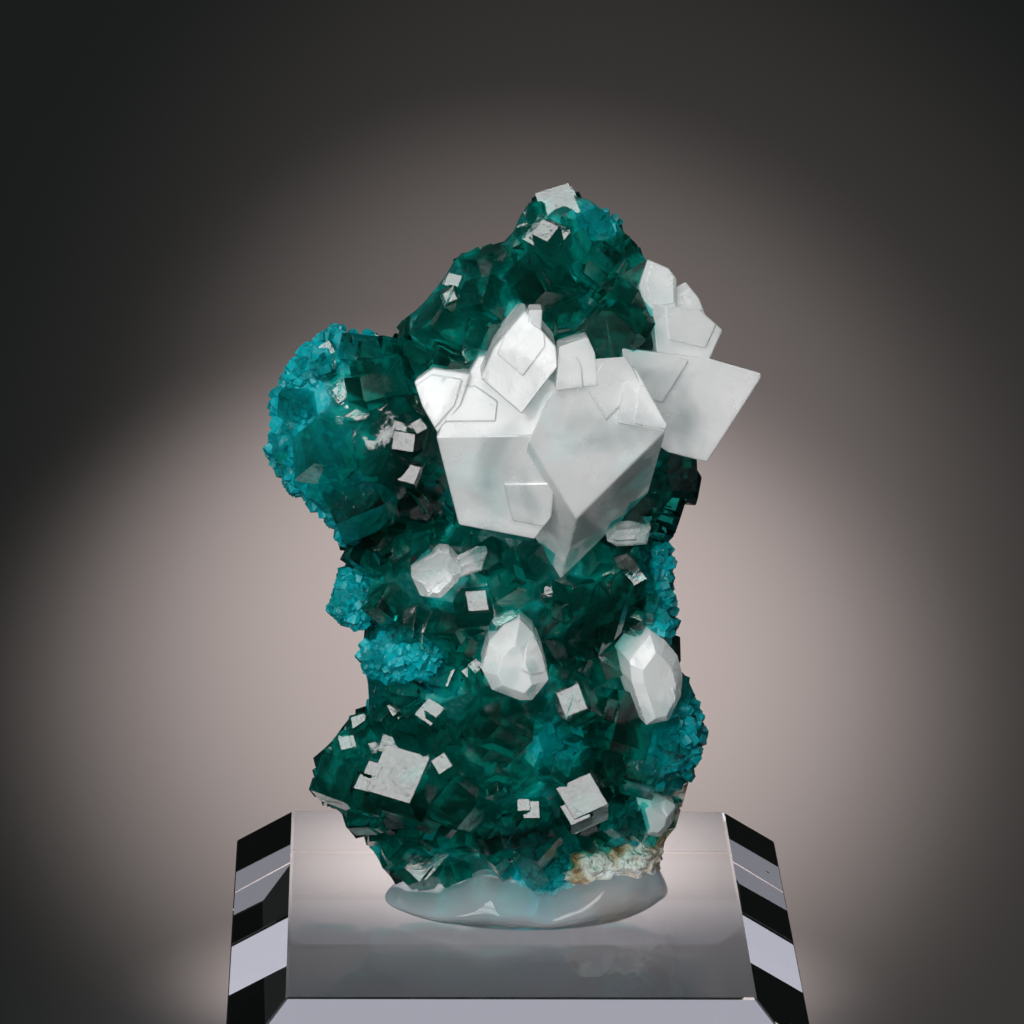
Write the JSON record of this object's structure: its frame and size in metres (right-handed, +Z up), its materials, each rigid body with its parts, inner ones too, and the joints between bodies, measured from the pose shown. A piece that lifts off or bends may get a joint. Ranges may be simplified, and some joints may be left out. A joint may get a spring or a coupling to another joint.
{
  "type": "dioptase specimen on clear block",
  "caption": "Upright cluster of green dioptase crystals and turquoise crust with white calcite rhombs, held by clear gel on a clear block with bevelled top edges",
  "frame": {"origin": "Centre of the underside of the clear block, which is the lowest face of the object.", "axes": "+Z runs up through the specimen, the longest way of the object; +X runs to the right along the block's front edge as seen from the front; +Y runs away from the viewer, from the front of the specimen to its back."},
  "size_m": [0.0508, 0.0508, 0.0855],
  "materials": {
    "clear_acrylic": "polished",
    "mounting_gel": "glossy",
    "matrix": "rough",
    "dioptase": "vitreous",
    "calcite": "vitreous"
  },
  "bodies": {
    "root": {"acrylic_base": "clear_acrylic", "mounting_gel": "mounting_gel", "matrix": "matrix", "dioptase_cluster": "dioptase", "calcite_group": "calcite", "calcite_middle": "calcite", "calcite_right": "calcite", "calcite_pale": "calcite", "calcite_ledge": "calcite", "calcite_foot": "calcite"}
  },
  "joints": []
}
